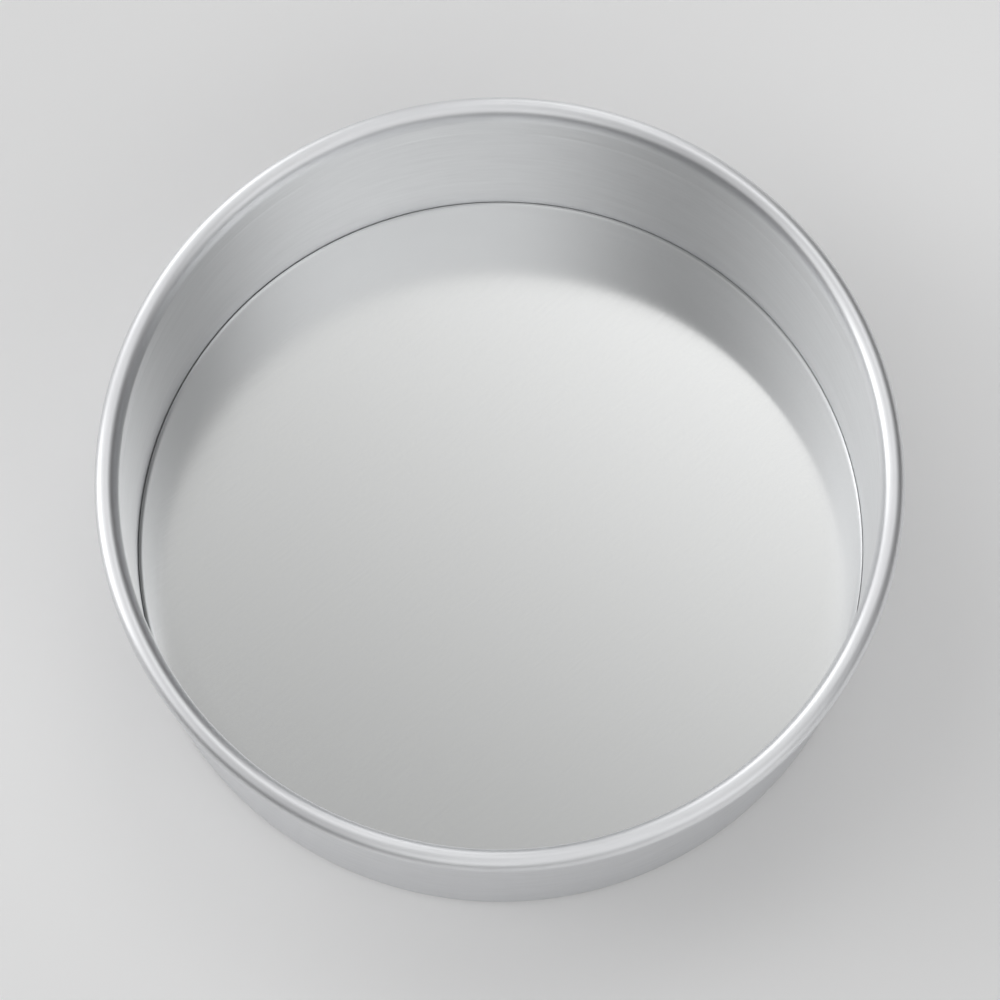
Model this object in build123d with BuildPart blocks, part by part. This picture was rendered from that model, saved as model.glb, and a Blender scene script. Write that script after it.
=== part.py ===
from build123d import *

import os
from math import acos, cos, degrees, radians, sin

# A round cake tin with a loose base, in millimetres.
#
# The side is one sheet of aluminium: a straight wall whose top flares a little and is
# rolled outwards into a hollow bead, and whose foot is bent inwards into a narrow ledge.
# A flat disc lies loose on that ledge, and is pushed up through the tin to lift the cake
# out.
#
# The origin is the centre of the foot, on the table, and +Z points up.

# The side: a nine inch tin, three inches high
inner_diameter = 228.6
overall_height = 76.2
side_sheet = 1.2
rim_bead_diameter = 6.65
rim_tuck_gap = 0.5  # left between the rolled edge and the line of the wall below the flare
flare_radius = 9.0  # of the wall's slight flare under the bead, at the middle of the sheet
flare_turn = 24  # degrees that the wall leans outwards where the curl begins
foot_bend_radius = 1.0  # inside the bend
ledge_width = 7.0  # how far the ledge reaches in from the wall

# The loose base: a punched disc, a little smaller than the tin and lying to one side of it
base_sheet = 1.5
base_wall_gap = 0.12  # where the disc lies nearest to the wall
base_shift = 0.1  # how far the disc's centre lies from the tin's
base_shift_heading = 60  # degrees from +X towards +Y, the way that the disc is shifted
base_bend_clearance = 0.05  # between the end of the disc's flat underside and the foot bend
base_shoulder_width = 1.6  # how far the punch has drawn the top edge over, seen from above
base_shoulder_drop_share = 0.4  # of the disc's thickness
base_bevel_rise_share = 0.45  # of the disc's thickness, bevelled off underneath

# The sheet of the side follows a line that lies half a thickness from either face
inner_radius = inner_diameter / 2
half_sheet = side_sheet / 2
wall_line_radius = inner_radius + half_sheet
bend_line_radius = foot_bend_radius + half_sheet
ledge_edge_radius = inner_radius - ledge_width
rim_bead_radius = rim_bead_diameter / 2
curl_line_radius = rim_bead_radius - half_sheet
curl_centre_height = overall_height - rim_bead_radius

# The wall flares on one arc, and the curl goes on from it.  It runs over the top, down the
# outside and back under, and ends where the outer corner of its sheared edge is the tuck
# gap from the wall's line
flare_beyond_curl = flare_radius - curl_line_radius
flare_start_height = curl_centre_height - flare_beyond_curl * sin(radians(flare_turn))
curl_centre_radius = wall_line_radius + flare_radius - flare_beyond_curl * cos(radians(flare_turn))
curl_corner_reach = curl_centre_radius - inner_radius - side_sheet - rim_tuck_gap
curl_angle = 360 - flare_turn - degrees(acos(curl_corner_reach / rim_bead_radius))

# The disc lies clear of the wall, and its flat underside ends before the foot bend begins
base_radius = inner_radius - base_wall_gap - base_shift
base_bevel_rise = base_sheet * base_bevel_rise_share
base_bevel_width = max(base_bevel_rise, foot_bend_radius + base_bend_clearance - base_wall_gap)
base_underside = side_sheet
base_top = base_underside + base_sheet
base_shoulder_height = base_top - base_sheet * base_shoulder_drop_share
base_centre_x = base_shift * cos(radians(base_shift_heading))
base_centre_y = base_shift * sin(radians(base_shift_heading))

os.makedirs("parts", exist_ok=True)


# Side ring: ledge, wall and rolled rim, one strip of sheet turned about the tin's axis
with BuildPart() as side_ring:
    with BuildSketch(Plane.XZ):
        with BuildLine():
            ledge = Line(
                (ledge_edge_radius, half_sheet),
                (wall_line_radius - bend_line_radius, half_sheet),
            )
            bend = JernArc(ledge @ 1, ledge % 1, bend_line_radius, 90)
            wall = Line(bend @ 1, (wall_line_radius, flare_start_height))
            flare = JernArc(wall @ 1, wall % 1, flare_radius, -flare_turn)
            curl = JernArc(flare @ 1, flare % 1, curl_line_radius, -curl_angle)
        trace(line_width=side_sheet)
    revolve(axis=Axis.Z)
side_ring.part.label = "side_ring"


# Loose base: a flat disc whose top edge is drawn over, as the punch leaves it
base_axis = Axis((base_centre_x, base_centre_y, 0), (0, 0, 1))
with BuildPart() as loose_base:
    with BuildSketch(Plane(base_axis.position, x_dir=Plane.XZ.x_dir, z_dir=Plane.XZ.z_dir)):
        with BuildLine():
            underside = Line((0, base_underside), (base_radius - base_bevel_width, base_underside))
            bevel = Line(underside @ 1, (base_radius, base_underside + base_bevel_rise))
            edge = Line(bevel @ 1, (base_radius, base_shoulder_height))
            top = Line((0, base_top), (base_radius - base_shoulder_width, base_top))
            shoulder = TangentArc(top @ 1, edge @ 1, tangent=top % 1)
            centre = Line(top @ 0, underside @ 0)
        make_face()
    revolve(axis=base_axis)
loose_base.part.label = "loose_base"


for piece in (side_ring.part, loose_base.part):
    export_step(piece, f"parts/{piece.label}.step")
    size = piece.bounding_box().size
    print(f"{piece.label}: {size.X:.1f} x {size.Y:.1f} x {size.Z:.1f} mm, {piece.volume:.0f} mm3")
print(f"The rim's curl turns through {curl_angle:.0f} degrees")
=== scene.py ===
# %% [markdown]
# # A round cake tin with a loose base
#
# The real tin is two pieces of silver-anodised aluminium: a side with a rolled rim, and a
# flat base that lies loose inside it. This file gives them their finish and sets them under
# soft studio light, as in a catalogue picture taken from high up in front.
#
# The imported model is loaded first. It fixes where every piece is, so nothing here is placed
# by eye: sizes are read from it, and what is drawn anew is drawn in its place.

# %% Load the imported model
import math

import bmesh
import bpy
from mathutils import Matrix, Vector


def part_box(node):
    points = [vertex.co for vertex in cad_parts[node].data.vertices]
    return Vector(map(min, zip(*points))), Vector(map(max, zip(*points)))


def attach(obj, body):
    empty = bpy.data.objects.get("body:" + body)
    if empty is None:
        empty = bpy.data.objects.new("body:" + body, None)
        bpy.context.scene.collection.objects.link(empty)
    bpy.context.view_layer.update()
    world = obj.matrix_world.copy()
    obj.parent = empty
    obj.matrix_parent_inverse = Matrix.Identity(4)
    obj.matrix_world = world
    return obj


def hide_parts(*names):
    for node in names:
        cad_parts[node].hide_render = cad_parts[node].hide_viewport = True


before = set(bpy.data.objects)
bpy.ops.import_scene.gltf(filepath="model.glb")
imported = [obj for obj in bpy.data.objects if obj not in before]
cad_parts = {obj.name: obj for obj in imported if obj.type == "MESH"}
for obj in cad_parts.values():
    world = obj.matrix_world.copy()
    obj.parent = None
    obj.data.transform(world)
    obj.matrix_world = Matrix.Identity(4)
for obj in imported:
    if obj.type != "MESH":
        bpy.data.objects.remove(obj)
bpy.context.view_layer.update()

mm = 0.001
print("the model holds", sorted(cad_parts))

# %% [markdown]
# ## Sizes
#
# The outer sizes come from the model's own boxes. The base lies on the ledge at the foot of
# the side, so its underside gives the thickness of the side's sheet. The rest are the sizes
# that a box can't tell, in millimetres as on a drawing.

# %% Sizes of the tin
side_low, side_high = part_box("side_ring")
base_low, base_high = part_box("loose_base")

rim_top = side_high.z
side_sheet = base_low.z - side_low.z
inner_radius = 114.3 * mm
flare_radius = 9 * mm
flare_turn = 24  # degrees
bead_radius = 3.325 * mm
bead_height = rim_top - bead_radius
tuck_gap = 0.5 * mm
bend_radius = 1.0 * mm
ledge_width = 7.0 * mm

base_centre = (base_low + base_high) / 2
base_radius = (base_high.x - base_low.x) / 2
base_underside = base_low.z
base_top = base_high.z
shoulder_width = 1.6 * mm
shoulder_drop = 0.4 * (base_top - base_underside)
bevel_width = 0.93 * mm
bevel_rise = 0.45 * (base_top - base_underside)

print(f"inside radius {inner_radius / mm:.1f} mm, sheet {side_sheet / mm:.2f} mm")

# %% [markdown]
# ## The camera
#
# The picture was taken from about 1.3 metres away and 73 degrees above the table, with a
# long lens that hardly spreads the tin. The rim's ellipse gives the height of the camera, the
# size of the foot against the rim gives its distance, and the aim is set a little below the
# rim's centre because the picture is.

# %% Camera
camera_elevation = math.radians(73.03)
camera_roll = math.radians(-0.62)
camera_distance = 1.3137
camera_lens = 157.7  # millimetres, on a sensor 36 mm wide
aim_right = 0.11 * mm
aim_down = 7.5 * mm

rim_level = 72.6 * mm  # near the middle of the bead
rim_centre = Vector((0, 0, rim_level))
forward = Vector((0, math.cos(camera_elevation), -math.sin(camera_elevation)))
level_right = Vector((1, 0, 0))
level_up = level_right.cross(forward)
right = level_right * math.cos(camera_roll) + level_up * math.sin(camera_roll)
up = level_up * math.cos(camera_roll) - level_right * math.sin(camera_roll)

camera_data = bpy.data.cameras.new("camera")
camera_data.lens = camera_lens
camera_data.sensor_width = 36
camera_data.clip_start = 0.05
camera = bpy.data.objects.new("camera", camera_data)
bpy.context.scene.collection.objects.link(camera)
aim = rim_centre + right * aim_right - up * aim_down
turn = Matrix((right, up, -forward)).transposed()
camera.matrix_world = Matrix.Translation(aim - forward * camera_distance) @ turn.to_4x4()
bpy.context.scene.camera = camera
print("the camera stands at", [round(v, 3) for v in camera.matrix_world.translation])

# %% [markdown]
# ## Turned shapes
#
# Both pieces are round, so each is one outline turned about an upright axis, as a potter or
# a metal spinner would see it. A Screw modifier could turn a curve, but building the mesh
# here gives each point two extra numbers for the finish: how far it lies along the outline,
# and where it is round the tin. Brush marks follow the first, so they bend over the rim with
# the metal.

# %% Turn an outline into a mesh
turns = 384


def arc(centre, radius, start, end, step=9):
    """Points along an arc in the upright plane, from start to end in degrees."""
    count = max(2, round(abs(end - start) / step))
    points = []
    for i in range(count + 1):
        angle = math.radians(start + (end - start) * i / count)
        points.append((centre[0] + radius * math.cos(angle), centre[1] + radius * math.sin(angle)))
    return points


def turned(name, outline, centre=Vector((0, 0, 0)), closed=True):
    """A mesh object made by turning an outline of (radius, height) points about +Z."""
    mesh = bpy.data.meshes.new(name)
    work = bmesh.new()
    along = [0.0]
    loop = outline + outline[:1] if closed else outline
    for a, b in zip(loop, loop[1:]):
        along.append(along[-1] + math.dist(a, b))
    rings = []
    for radius, height in outline:
        if radius == 0:
            rings.append([work.verts.new((centre.x, centre.y, height))] * turns)
            continue
        ring = []
        for i in range(turns):
            angle = 2 * math.pi * i / turns
            point = (centre.x + radius * math.cos(angle), centre.y + radius * math.sin(angle), height)
            ring.append(work.verts.new(point))
        rings.append(ring)
    where = work.loops.layers.uv.new("finish")
    for k in range(len(loop) - 1):
        lower, upper = rings[k], rings[(k + 1) % len(rings)]
        for i in range(turns):
            j = (i + 1) % turns
            corners = [(lower[i], i, k), (lower[j], i + 1, k), (upper[j], i + 1, k + 1), (upper[i], i, k + 1)]
            if lower[i] is lower[j]:
                corners.pop(1)
            elif upper[i] is upper[j]:
                corners.pop(3)
            face = work.faces.new([corner[0] for corner in corners])
            face.smooth = True
            for corner, (vertex, around, row) in zip(face.loops, corners):
                corner[where].uv = (around / turns, along[row])
    bmesh.ops.recalc_face_normals(work, faces=work.faces)
    work.to_mesh(mesh)
    work.free()
    piece = bpy.data.objects.new(name, mesh)
    bpy.context.scene.collection.objects.link(piece)
    print(f"{name}: {len(mesh.polygons)} faces")
    return piece


# %% [markdown]
# ## The side
#
# The side is one strip of sheet: a ledge at the foot, a tight bend, a straight wall that
# flares a little at the top, and a rim rolled outwards, down and back under until its edge
# tucks in behind. A roller mark runs round the inside, 14 mm below the top of the rim, where
# the rim-rolling tool bore on the wall. It is a real dent here, because the light picks it
# out.

# %% The side's outline
half_sheet = side_sheet / 2
curl_radius = bead_radius - half_sheet
lean = math.radians(flare_turn)
flare_centre = (
    inner_radius + half_sheet + flare_radius,
    bead_height - (flare_radius - curl_radius) * math.sin(lean),
)
curl_centre = (flare_centre[0] - (flare_radius - curl_radius) * math.cos(lean), bead_height)
curl_reach = curl_centre[0] - inner_radius - side_sheet - tuck_gap
curl_end = math.degrees(math.acos(curl_reach / bead_radius)) - 180
bend_centre = (inner_radius - bend_radius, side_sheet + bend_radius)
ledge_edge = inner_radius - ledge_width
roller_mark_height = 62 * mm
roller_mark_half_width = 1.7 * mm
roller_mark_depth = 0.06 * mm

outer_wall = [(inner_radius + side_sheet, flare_centre[1] * share) for share in (0.2, 0.5, 0.8)]
inner_wall = []
for i in range(13):
    across = 1 - i / 6
    dent = roller_mark_depth * (1 + math.cos(math.pi * across)) / 2
    inner_wall.append((inner_radius + dent, roller_mark_height + roller_mark_half_width * across))
inner_wall += [(inner_radius, bead_height * share) for share in (0.6, 0.4, 0.2)]

side_outline = (
    [(ledge_edge, 0)]
    + arc(bend_centre, bend_radius + side_sheet, -90, 0)
    + outer_wall
    + arc(flare_centre, flare_radius - half_sheet, 180, 180 - flare_turn, step=3)[:-1]
    + arc(curl_centre, bead_radius - side_sheet, 180 - flare_turn, curl_end)
    + arc(curl_centre, bead_radius, curl_end, 180 - flare_turn, step=5)[:-1]
    + arc(flare_centre, flare_radius + half_sheet, 180 - flare_turn, 180, step=2)
    + inner_wall
    + arc(bend_centre, bend_radius, 0, -90)
    + [(ledge_edge, side_sheet)]
)
print(f"the curl is {2 * bead_radius / mm:.2f} mm across, its centre at {curl_centre[0] / mm:.2f} mm")
side = turned("tin_side", side_outline)

# %% [markdown]
# ## The loose base
#
# The base is punched from flat sheet. The punch draws the upper edge over before it shears
# through, which leaves a narrow rounded shoulder. It is only a millimetre and a half wide,
# but it catches the light and draws a bright line round the base.

# %% The base's outline
shoulder_radius = (shoulder_width**2 + shoulder_drop**2) / (2 * shoulder_drop)
shoulder_turn = math.degrees(math.asin(shoulder_width / shoulder_radius))
shoulder_centre = (base_radius - shoulder_width, base_top - shoulder_radius)

base_outline = (
    [(0, base_underside), (base_radius * 0.5, base_underside), (base_radius - bevel_width, base_underside)]
    + [(base_radius, base_underside + bevel_rise)]
    + arc(shoulder_centre, shoulder_radius, 90 - shoulder_turn, 90, step=4)
    + [(base_radius * 0.9, base_top), (base_radius * 0.5, base_top), (0, base_top)]
)
base = turned("tin_base", base_outline, centre=base_centre, closed=False)

# %% [markdown]
# The sheet was rolled before it was punched, so its grain runs straight across the disc. A
# second map, flat and turned to the grain, tells the finish which way that is.

# %% The way of the grain
grain_angle = math.radians(40)
grain_map = base.data.uv_layers.new(name="grain")
for corner in base.data.loops:
    x, y, _ = base.data.vertices[corner.vertex_index].co
    along_grain = x * math.cos(grain_angle) + y * math.sin(grain_angle)
    across_grain = y * math.cos(grain_angle) - x * math.sin(grain_angle)
    grain_map.data[corner.index].uv = (along_grain, across_grain)
print("the grain runs", round(math.degrees(grain_angle)), "degrees from +X")

# %% [markdown]
# Sheared corners stay sharp: smooth shading would smear them over the flats beside them, so
# edges that turn by more than 30 degrees are shaded as corners.

# %% Sharp corners
for piece in (side, base):
    piece.data.set_sharp_from_angle(angle=math.radians(30))

# %% [markdown]
# ## Colour and nodes
#
# Colours are picked as sRGB hex values, as in a paint program, while Blender's nodes count
# in linear light, so one function turns the first into the second. Another adds a node with
# its settings and its links.

# %% Helpers for materials
def linear(hex_colour):
    """The linear colour, with alpha, of an sRGB hex value such as #C0C0C0."""
    parts = [int(hex_colour[i : i + 2], 16) / 255 for i in (1, 3, 5)]
    return [p / 12.92 if p <= 0.04045 else ((p + 0.055) / 1.055) ** 2.4 for p in parts] + [1]


def add_node(tree, kind, inputs=None, **settings):
    """Add one node; its inputs are values or other nodes' output sockets."""
    node = tree.nodes.new(kind)
    for name, value in settings.items():
        setattr(node, name, value)
    for name, value in (inputs or {}).items():
        if isinstance(value, bpy.types.NodeSocket):
            tree.links.new(value, node.inputs[name])
        else:
            node.inputs[name].default_value = value
    return node


def new_material(name):
    """An empty material, with its node tree and its output node."""
    material = bpy.data.materials.new(name)
    material.use_nodes = True
    material.node_tree.nodes.clear()
    return material, material.node_tree, add_node(material.node_tree, "ShaderNodeOutputMaterial")


# %% [markdown]
# ## Silver-anodised aluminium, spun
#
# The side was shaped and polished while it turned, so its fine scratches run round it.
# Anodising then etched it satin. To the eye that is a pale, soft mirror whose highlights are
# drawn out across the scratches, up and down the wall. Real scratches are far too fine to show
# here, so the lines are drawn nearly half a millimetre apart and the strokes two millimetres.

# %% Material of the side
side_roughness = 0.31
side_anisotropy = 0.6
rim_roughness = 0.38
brush_line_spacing = 0.45 * mm
brush_line_length = 40 * mm
stroke_spacing = 2.2 * mm
stroke_length = 16 * mm
stroke_depth = 0.01 * mm
scratch_depth = 0.01 * mm
scratch_share = 0.25  # of that depth
scratch_roughness = 0.08  # how much rougher the deepest scratches are
mean_scratch = 0.04  # taken off again, so that the mean roughness is the one named
stroke_tones = linear("#DFE0E2"), linear("#EDEEF0")


def spun_aluminium():
    material, tree, output = new_material("anodised_aluminium_spun")
    place = add_node(tree, "ShaderNodeTexCoord")
    along = add_node(tree, "ShaderNodeSeparateXYZ", {"Vector": place.outputs["UV"]}).outputs["Y"]
    x, y, z = add_node(tree, "ShaderNodeSeparateXYZ", {"Vector": place.outputs["Object"]}).outputs

    def strokes(spacing, length, detail):
        """Noise drawn out round the tin: spacing across the strokes, length along them."""
        parts = [
            add_node(tree, "ShaderNodeMath", {0: way, 1: 1 / size}, operation="MULTIPLY").outputs[0]
            for way, size in ((x, length), (y, length), (along, spacing))
        ]
        at = add_node(tree, "ShaderNodeCombineXYZ", dict(zip("XYZ", parts)))
        noise = {"Vector": at.outputs[0], "Scale": 1.0, "Detail": detail, "Roughness": 0.6}
        return add_node(tree, "ShaderNodeTexNoise", noise).outputs["Fac"]

    fine = strokes(brush_line_spacing, brush_line_length, 2.0)
    coarse = strokes(stroke_spacing, stroke_length, 3.0)
    tone = add_node(
        tree,
        "ShaderNodeMix",
        {"Factor": coarse, "A": stroke_tones[0], "B": stroke_tones[1]},
        data_type="RGBA",
    )
    finish = add_node(
        tree,
        "ShaderNodeMapRange",
        {
            "Value": z,
            "From Min": bead_height - 3 * mm,
            "From Max": bead_height - 1 * mm,
            "To Min": side_roughness - mean_scratch,
            "To Max": rim_roughness - mean_scratch,
        },
    )
    uneven = add_node(tree, "ShaderNodeMath", {0: fine, 1: scratch_roughness}, operation="MULTIPLY")
    summands = {0: uneven.outputs[0], 1: finish.outputs[0]}
    roughness = add_node(tree, "ShaderNodeMath", summands, operation="ADD")
    wavy = add_node(
        tree,
        "ShaderNodeBump",
        {"Height": coarse, "Strength": 1.0, "Distance": stroke_depth},
    )
    scratched = add_node(
        tree,
        "ShaderNodeBump",
        {
            "Height": fine,
            "Strength": scratch_share,
            "Distance": scratch_depth,
            "Normal": wavy.outputs[0],
        },
    )
    tangent = add_node(tree, "ShaderNodeTangent", direction_type="RADIAL", axis="Z")
    shader = add_node(
        tree,
        "ShaderNodeBsdfPrincipled",
        {
            "Base Color": tone.outputs["Result"],
            "Metallic": 1.0,
            "Roughness": roughness.outputs[0],
            "Anisotropic": side_anisotropy,
            "Anisotropic Rotation": 0.25,
            "Normal": scratched.outputs[0],
            "Tangent": tangent.outputs[0],
        },
    )
    tree.links.new(shader.outputs[0], output.inputs["Surface"])
    return material


side.data.materials.append(spun_aluminium())

# %% [markdown]
# ## Silver-anodised aluminium, rolled
#
# The base is cut from rolled sheet. Its grain can hardly be seen, but it shows in what the
# base mirrors: the shadow of the wall has a crisp edge where that edge lies across the grain,
# and a soft one where it lies along it. So the gloss is drawn out strongly across the grain.
# The etching before the anodising leaves it faintly mottled. Both the grain and the mottle are
# drawn about a millimetre wide, because the real ones are too fine to show.

# %% Material of the base
base_roughness = 0.11
base_anisotropy = 0.95
grain_spacing = 1.2 * mm
grain_length = 14 * mm
grain_depth = 0.005 * mm
grain_roughness = 0.02  # how far the roughness strays to either side along the grain
mottle_size = 1.0 * mm
mottle_tones = linear("#E6E7E7"), linear("#ECEDEC")


def rolled_aluminium():
    material, tree, output = new_material("anodised_aluminium_rolled")
    flat = add_node(tree, "ShaderNodeUVMap", uv_map="grain").outputs[0]
    grain_at = add_node(
        tree,
        "ShaderNodeMapping",
        {"Vector": flat, "Scale": (1 / grain_length, 1 / grain_spacing, 1)},
    )
    grain = add_node(
        tree,
        "ShaderNodeTexNoise",
        {"Vector": grain_at.outputs[0], "Scale": 1.0, "Detail": 2.0, "Roughness": 0.6},
    )
    mottle = add_node(
        tree,
        "ShaderNodeTexNoise",
        {"Vector": flat, "Scale": 1 / mottle_size, "Detail": 2.0, "Roughness": 0.6},
    )
    tone = add_node(
        tree,
        "ShaderNodeMix",
        {"Factor": mottle.outputs["Fac"], "A": mottle_tones[0], "B": mottle_tones[1]},
        data_type="RGBA",
    )
    roughness = add_node(
        tree,
        "ShaderNodeMapRange",
        {
            "Value": grain.outputs["Fac"],
            "To Min": base_roughness - grain_roughness,
            "To Max": base_roughness + grain_roughness,
        },
    )
    rolled = add_node(
        tree,
        "ShaderNodeBump",
        {"Height": grain.outputs["Fac"], "Strength": 1.0, "Distance": grain_depth},
    )
    tangent = add_node(tree, "ShaderNodeTangent", direction_type="UV_MAP", uv_map="grain")
    shader = add_node(
        tree,
        "ShaderNodeBsdfPrincipled",
        {
            "Base Color": tone.outputs["Result"],
            "Metallic": 1.0,
            "Roughness": roughness.outputs[0],
            "Anisotropic": base_anisotropy,
            "Anisotropic Rotation": 0.25,
            "Normal": rolled.outputs[0],
            "Tangent": tangent.outputs[0],
        },
    )
    tree.links.new(shader.outputs[0], output.inputs["Surface"])
    return material


base.data.materials.append(rolled_aluminium())

# %% [markdown]
# ## Each piece takes its place
#
# A piece rides on a body of the model, so it moves when that body does, and stands for the
# model's own node, which is then hidden.

# %% Tie the pieces to the model
for piece, body, node, slot in (
    (side, "side", "side_ring", "side_aluminium"),
    (base, "base", "loose_base", "base_aluminium"),
):
    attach(piece, body)
    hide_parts(node)

# %% [markdown]
# ## The floor and the light
#
# The tin stands on white paper. The floor is plain matt white, and it is wide enough for its
# edge to stay far from any view.

# %% Floor
floor_mesh = bpy.data.meshes.new("floor")
floor_half = 3.0  # metres from the middle to an edge
signs = ((-1, -1), (1, -1), (1, 1), (-1, 1))
corners = [(floor_half * x, floor_half * y, 0) for x, y in signs]
floor_mesh.from_pydata(corners, [], [(0, 1, 2, 3)])
floor = bpy.data.objects.new("floor", floor_mesh)
bpy.context.scene.collection.objects.link(floor)

paper, tree, output = new_material("white_paper")
matt = add_node(tree, "ShaderNodeBsdfDiffuse", {"Color": linear("#F5F5F5"), "Roughness": 1.0})
tree.links.new(matt.outputs[0], output.inputs["Surface"])
floor_mesh.materials.append(paper)

# %% [markdown]
# The studio's light is drawn on the sky, as large soft lights and nothing between them. A
# lamp could do the same, but on a soft mirror such as this the lights' own shapes show, and a
# glow that fades out evenly leaves no edge on the metal. A low row stands at the left and
# back, for the wall and the bead, and a high row and one overhead are what the base mirrors.
# A weaker row in front keeps the near side from going dark. The sky high above the left front
# is left dark: the wall at the back right mirrors it, and the base mirrors that wall, which
# gives the dark crescent. Where the light comes from was first worked out from the picture's
# own tones. The lights were then evened out into these rows, in round numbers, which
# is easier to read and to change than a close fit, and a little less like the picture.

# %% Light
# azimuth from +X and elevation in degrees, angle at which it fades to half, strength
low_row = [(170, 20, 12, 4.0), (125, 20, 15, 3.0), (80, 20, 12, 2.0)]
high_row = [(azimuth, 60, 12, 1.2) for azimuth in (50, 80, 145)]
front_row = [(azimuth, 45, 16, 1.2) for azimuth in (190, 260, 320)]
overhead = (300, 80, 10, 1.3)
low_glow = (310, 0, 40, 0.5)
soft_lights = low_row + high_row + front_row + [overhead, low_glow]

world = bpy.data.worlds.new("studio")
bpy.context.scene.world = world
world.use_nodes = True
sky = world.node_tree
sky.nodes.clear()
direction = add_node(sky, "ShaderNodeTexCoord").outputs["Generated"]
total = None
for azimuth, elevation, half_angle, strength in soft_lights:
    level = math.cos(math.radians(elevation))
    towards = (
        level * math.cos(math.radians(azimuth)),
        level * math.sin(math.radians(azimuth)),
        math.sin(math.radians(elevation)),
    )
    tightness = math.log(2) / (1 - math.cos(math.radians(half_angle)))
    facing = add_node(sky, "ShaderNodeVectorMath", {0: direction, 1: towards}, operation="DOT_PRODUCT")
    away = add_node(sky, "ShaderNodeMath", {0: facing.outputs["Value"], 1: 1.0}, operation="SUBTRACT")
    scaled = add_node(sky, "ShaderNodeMath", {0: away.outputs[0], 1: tightness}, operation="MULTIPLY")
    fade = add_node(sky, "ShaderNodeMath", {0: scaled.outputs[0]}, operation="EXPONENT")
    glow = add_node(sky, "ShaderNodeMath", {0: fade.outputs[0], 1: strength}, operation="MULTIPLY")
    if total:
        glow = add_node(sky, "ShaderNodeMath", {0: glow.outputs[0], 1: total}, operation="ADD")
    total = glow.outputs[0]
light = add_node(sky, "ShaderNodeBackground", {"Color": (1, 1, 1, 1), "Strength": total})
add_node(sky, "ShaderNodeOutputWorld", {"Surface": light.outputs[0]})
print(len(soft_lights), "soft lights")

# %% [markdown]
# ## Last settings
#
# The plain Standard view shows colours as they are written.

# %% Finish
bpy.context.scene.view_settings.view_transform = "Standard"
